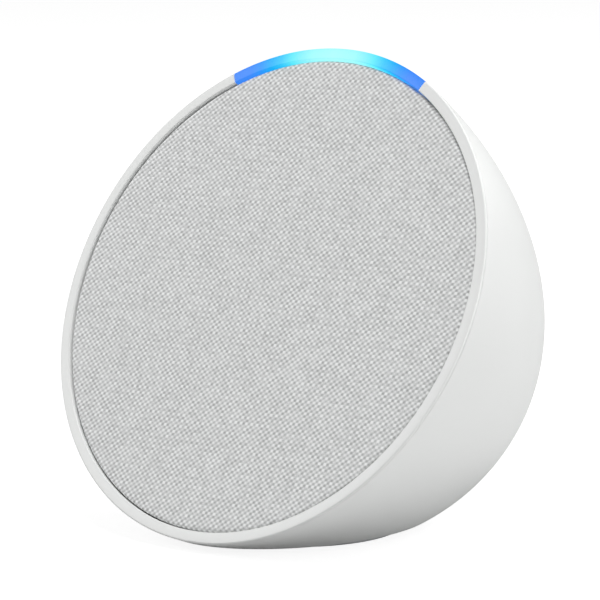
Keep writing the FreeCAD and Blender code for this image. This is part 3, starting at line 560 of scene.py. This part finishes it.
def key(name, material):
    """A dished cap that follows the skin at its edge, with a flange, a post and its mark."""
    place = button_frame(BUTTON_ANGLES[name])
    to_face = (Matrix.Scale(1 / MM, 4) @ FACE.inverted() @ place) @ Matrix.Scale(MM, 4)
    columns = 120
    turns = [2 * math.pi * j / columns for j in range(columns)]
    radii = [0.4 * i for i in range(1, 10)] + [3.8, 4.0, 4.1, 4.16]
    radii += [CAP_R - CAP_ROUND + CAP_ROUND * math.sin(math.radians(15 * i)) for i in range(7)]
    verts = [(0, 0, -DISH_DEEP * MM)]
    for r in radii:
        fall = CAP_ROUND - math.sqrt(max(0.0, CAP_ROUND**2 - max(0.0, r - CAP_R + CAP_ROUND) ** 2))
        dish = DISH_R - DISH_DEEP - math.sqrt(DISH_R**2 - r**2)
        for a in turns:
            x, y = r * math.cos(a), r * math.sin(a)
            verts.append((x * MM, y * MM, (min(dish, skin_height(to_face, x, y)) - fall) * MM))
    lower = [(CAP_R, FLANGE_TOP), (FLANGE_R, FLANGE_TOP), (FLANGE_R, FLANGE_LOW)]
    lower += [(POST_R, FLANGE_LOW), (POST_R, POST_LOW)]
    for r, z in lower:
        verts += [(r * math.cos(a) * MM, r * math.sin(a) * MM, z * MM) for a in turns]
    verts.append((0, 0, POST_LOW * MM))
    rings = len(radii) + len(lower)
    faces = [(0, 1 + j, 1 + (j + 1) % columns) for j in range(columns)]
    for k, j in itertools.product(range(rings - 1), range(columns)):
        low, high, n = 1 + k * columns, 1 + (k + 1) * columns, (j + 1) % columns
        faces.append((low + j, high + j, high + n, low + n))
    last = 1 + (rings - 1) * columns
    faces += [(last + (j + 1) % columns, last + j, len(verts) - 1) for j in range(columns)]
    cap = solid(name + "_key_v", verts, faces)
    cuts = [mark_bar(angle) for angle in MARK_BARS[name]]
    if name == "mic_off":
        cuts.append(mark_ring())
    cut(cap, cuts)
    paint(cap, material)
    smooth(cap.data, 30)
    cap.matrix_world = place
    outwards(cap)
    attach(cap, name + "_key", name + "_button")


def mark_bar(angle):
    """Cutter for one bar of a key's mark."""
    bar = block((-MARK_HALF, -MARK_WIDE, MARK_Z), (MARK_HALF, MARK_WIDE, 1), "mark_bar")
    bar.data.transform(turned(angle, "Z"))
    return bar


def mark_ring():
    """Cutter for the ring round the microphone key's bar."""
    inner = MARK_HALF - 2 * MARK_WIDE
    verts, faces = lathe([(inner, MARK_Z), (MARK_HALF, MARK_Z), (MARK_HALF, 1), (inner, 1)], 64)
    return solid("mark_ring", verts, faces)


# ---------------------------------------------------------------- cloth
CLOTH_TONE, CLOTH_BRIGHTEST, CLOTH_RED = 0.655, 0.96, 0.99
WEAVE_DEEP = 0.00008  # metres


def woven():
    """Plain weave: at each crossing one thread lies on top, warp and weft in turn; the tone paints light on
    the raised warp crossings and painted shade on the lower weft crossings.
    """
    s = Shader("grille_cloth")
    place = s.split()
    u, v = s.math("DIVIDE", place["X"], THREAD_X * MM), s.math("DIVIDE", place["Y"], THREAD_Y * MM)
    iu, iv = s.math("FLOOR", u), s.math("FLOOR", v)
    au = s.math("ABSOLUTE", s.math("SUBTRACT", s.math("SUBTRACT", u, iu), 0.5))
    av = s.math("ABSOLUTE", s.math("SUBTRACT", s.math("SUBTRACT", v, iv), 0.5))
    odd = s.math("FLOORED_MODULO", s.math("ADD", iu, iv), 2.0)
    even = s.math("SUBTRACT", 1.0, odd)
    # across runs over the thread on top and along runs down it
    across = s.math("ADD", s.math("MULTIPLY", odd, av), s.math("MULTIPLY", even, au))
    along = s.math("ADD", s.math("MULTIPLY", odd, au), s.math("MULTIPLY", even, av))
    sides, ends = s.between(across, 1.0, 0.0, 0.26, 0.5), s.between(along, 1.0, 0.0, 0.22, 0.62)
    crown = s.math("MULTIPLY", sides, ends)
    # painted light and shade: light spots painted on the raised crossings and painted shade on the lower ones,
    # each light spot drawn out along one diagonal as the twist of the yarn would draw it
    painted_shading_rising = s.math("COSINE", s.math("MULTIPLY", s.math("ADD", u, v), math.pi))
    painted_shading_falling = s.math("COSINE", s.math("MULTIPLY", s.math("SUBTRACT", v, u), math.pi))
    cell = s.node("ShaderNodeCombineXYZ", {"X": iu, "Y": iv}).outputs[0]
    chance = s.node("ShaderNodeTexWhiteNoise", {"Vector": cell}, noise_dimensions="2D").outputs["Value"]
    # what each share adds to the tone: the first two paint the light and shade of the crossings, every second
    # thread of a kind is a little lighter, no two crossings are quite alike, and the whole cloth is faintly
    # cloudy
    parts = [
        s.math("MULTIPLY", painted_shading_rising, -0.105),
        s.math("MULTIPLY", painted_shading_falling, 0.15),
        s.math("MULTIPLY", s.math("FLOORED_MODULO", iu, 2.0), 0.05),
        s.math("MULTIPLY", s.math("FLOORED_MODULO", iv, 2.0), 0.04),
        s.between(chance, -0.075, 0.075),
        s.between(s.noise(160.0), -0.012, 0.012, 0.3, 0.7),
    ]
    tone = CLOTH_TONE
    for part in parts:
        tone = s.math("ADD", part, tone)
    tone = s.math("MINIMUM", tone, CLOTH_BRIGHTEST)
    red = s.math("MULTIPLY", tone, CLOTH_RED)
    white = s.node("ShaderNodeCombineColor", {"Red": red, "Green": tone, "Blue": tone})
    fibres = s.noise(9000.0)
    height = s.math("ADD", s.math("MULTIPLY", crown, 0.8), s.math("MULTIPLY", fibres, 0.2))
    return s.surface(
        Base_Color=white.outputs["Color"],
        Roughness=s.between(fibres, 0.62, 0.86),
        Sheen_Weight=0.15,
        Specular_IOR_Level=0.3,
        Normal=s.bump(height, 0.5, WEAVE_DEEP),
    )


THREAD_HIGH, THREAD_LOW, THREAD_SIDE, THREAD_GAP = 0.07, 0.03, 0.01, -0.03
EDGE_RELIEF = 0.6  # share of the threads' height that is left round the frame's edge


def fabric():
    """A height field with two vertices to a thread, wrapped by arc length round the frame's edge."""
    step_x, step_y = THREAD_X / 2, THREAD_Y / 2
    flat = FABRIC_R - FABRIC_EDGE
    bend = math.pi / 2 * FABRIC_EDGE
    reach = flat + bend + FABRIC_HEM
    nx, ny = int(reach / step_x) + 2, int(reach / step_y) + 2
    i, j = np.meshgrid(np.arange(-nx, nx + 1), np.arange(-ny, ny + 1), indexing="ij")
    x, y = i * step_x, j * step_y
    rho = np.hypot(x, y)
    # a vertex is in the middle of a crossing, between two threads, or in a gap
    middle_u, middle_v = i % 2 == 1, j % 2 == 1
    odd = (np.floor_divide(i, 2) + np.floor_divide(j, 2)) % 2
    height = np.where(middle_u & middle_v, np.where(odd == 0, THREAD_HIGH, THREAD_LOW), THREAD_SIDE)
    height = np.where(~middle_u & ~middle_v, THREAD_GAP, height)
    turn = np.clip((rho - flat) / FABRIC_EDGE, 0, math.pi / 2)
    drop = np.clip(rho - flat - bend, 0, None)
    round_r = FABRIC_EDGE + height * EDGE_RELIEF
    radius = np.where(rho <= flat, rho, flat + round_r * np.sin(turn))
    z = np.where(rho <= flat, FABRIC_Z + height, FABRIC_Z - FABRIC_EDGE + round_r * np.cos(turn) - drop)
    scale = radius / np.maximum(rho, 1e-9)
    keep = rho < reach
    index = -np.ones(x.shape, int)
    index[keep] = np.arange(keep.sum())
    verts = np.stack([(x * scale)[keep], (y * scale)[keep], z[keep]], 1) * MM
    quads = np.stack([index[:-1, :-1], index[1:, :-1], index[1:, 1:], index[:-1, 1:]], -1).reshape(-1, 4)
    quads = quads[(quads >= 0).all(1)]
    used = np.unique(quads)
    again = -np.ones(len(verts), int)
    again[used] = np.arange(len(used))
    verts, faces = verts[used], again[quads]
    add_piece("grille_cloth_v", verts, faces, woven(), "grille_fabric", angle=180.0)


# ---------------------------------------------------------------- foot
def foot():
    """A low round rubber pad with a softly rounded edge, its underside a little hollow."""
    s = Shader("foot_rubber")
    grains = s.noise(2600.0, 3.0, 0.6)
    rubber = s.surface(
        Base_Color=s.mix(s.noise(60.0), rgb(0.40, 0.41, 0.42), rgb(0.46, 0.47, 0.48)),
        Roughness=s.between(grains, 0.66, 0.82),
        Normal=s.bump(grains, 0.4, 0.00001),
    )
    hollow_r, hollow, edge = 15.0, 0.25, 0.8
    top = FOOT_DROP + FOOT_RECESS - FIT
    outline = [(0, hollow), (14.6, hollow), *arc((hollow_r, hollow), hollow, 180, 270, 3)[1:]]
    outline += [*arc((FOOT_R - edge, edge), edge, -90, 0, 8), (FOOT_R, top), (0, top)]
    verts, faces = lathe(outline, 180, closed=False)
    outwards(add_piece("foot_pad_v", verts, faces, rubber, "foot_pad", FOOT_FRAME))


# ---------------------------------------------------------------- carried-over CAD nodes
METALS = {"brushed_steel", "chrome", "aluminium", "brass"}
ROUGHNESS = {"gloss_plastic": 0.18, "rubber": 0.75, "fabric": 0.9, "paper": 0.85, "ceramic": 0.6}


def finish_for(entry):
    """A procedural finish for a record slot, from its class and colour."""
    kind, colour = entry["class"], rgb(*entry["base_color"][:3])
    name = entry["slot"] + "_cad"
    if kind not in METALS:
        return moulded(name, colour, ROUGHNESS.get(kind, 0.45), 2200.0).material
    s = Shader(name)
    grain = s.noise(1500.0, 3.0, 0.65)
    return s.surface(
        Base_Color=s.mix(grain, shade(colour, 0.85), shade(colour, 1.1)),
        Metallic=1.0,
        Roughness=s.between(grain, 0.22, 0.42),
        Normal=s.bump(grain, 0.15, 0.000004),
    )


def dress_cad():
    """Finish every CAD node by its slot in the record, and return the finishes."""
    record = frame["record"]
    finishes = {entry["slot"]: finish_for(entry) for entry in record["materials"]}
    for part in record["subparts"]:
        paint(frame["nodes"][part["node"]], finishes[part["material_slot"]])
    return finishes


# ---------------------------------------------------------------- stage, light and camera
def stage():
    """A plain pale sheet under the object."""
    s = Shader("paper_floor")
    # to the eye the sheet is lit from below as well; on the object it throws only what a pale floor would
    seen = s.node("ShaderNodeLightPath").outputs["Is Camera Ray"]
    paper = s.mix(s.noise(6.0), rgb(0.54, 0.54, 0.54), rgb(0.56, 0.56, 0.56))
    s.surface(
        Base_Color=s.mix(seen, paper, rgb(0.26, 0.26, 0.26)),
        Emission_Color=rgb(1, 1, 1),
        Emission_Strength=s.math("MULTIPLY", seen, 0.88),
        Roughness=0.9,
        Specular_IOR_Level=0.2,
    )
    size = 30.0  # metres each way
    low = -0.05 * MM  # a hair under the foot, so that the two never share a plane
    corners = [(-size, -size, low), (size, -size, low), (size, size, low), (-size, size, low)]
    floor = new_object("floor", corners, [(0, 1, 2, 3)])
    paint(floor, s.material)


def lights():
    """A white studio with four round lamps."""
    world = bpy.data.worlds.new("studio")
    scene.world = world
    world.use_nodes = True
    nodes, links = world.node_tree.nodes, world.node_tree.links
    background = nodes["Background"]
    background.inputs["Color"].default_value = rgb(1, 1, 1)
    strength = nodes.new("ShaderNodeMapRange")
    strength.inputs["To Min"].default_value, strength.inputs["To Max"].default_value = SKY_LIGHT, SKY_SEEN
    links.new(nodes.new("ShaderNodeLightPath").outputs["Is Camera Ray"], strength.inputs["Value"])
    links.new(strength.outputs["Result"], background.inputs["Strength"])
    for name, (place, watts) in LAMPS.items():
        data = bpy.data.lights.new(name, "AREA")
        data.shape, data.size, data.energy = "DISK", LAMP_WIDE, watts
        obj = bpy.data.objects.new(name, data)
        scene.collection.objects.link(obj)
        obj.location = place
        obj.rotation_euler = (Vector(LAMP_AIM) - Vector(place)).to_track_quat("-Z", "Y").to_euler()
    scene.view_settings.view_transform = "Standard"


def camera():
    """A long lens from the front right, a little above the object."""
    az, el = math.radians(CAMERA_AZIMUTH), math.radians(CAMERA_ELEVATION)
    back = Vector((math.sin(az) * math.cos(el), -math.cos(az) * math.cos(el), math.sin(el)))
    right = (-back).cross(Vector((0, 0, 1))).normalized()
    up = right.cross(-back)
    turn = Matrix((right, up, back)).transposed() @ turned(CAMERA_ROLL, "Z").to_3x3()
    place = Vector(CAMERA_AIM) + turn @ Vector((*CAMERA_ASIDE, CAMERA_DISTANCE))
    data = bpy.data.cameras.new("camera")
    data.lens, data.sensor_width = CAMERA_LENS, CAMERA_SENSOR
    data.clip_start, data.clip_end = 0.01, 100.0
    obj = bpy.data.objects.new("camera", data)
    scene.collection.objects.link(obj)
    obj.matrix_world = Matrix.Translation(place * MM) @ turn.to_4x4()
    scene.camera = obj


finishes = dress_cad()
housing()
inlet(finishes["plunger_plastic"], finishes["contact_metal"])
bezel_ring()
light_bar()
key_material = key_plastic()
for key_name in BUTTON_ANGLES:
    key(key_name, key_material)
fabric()
foot()
stage()
lights()
camera()
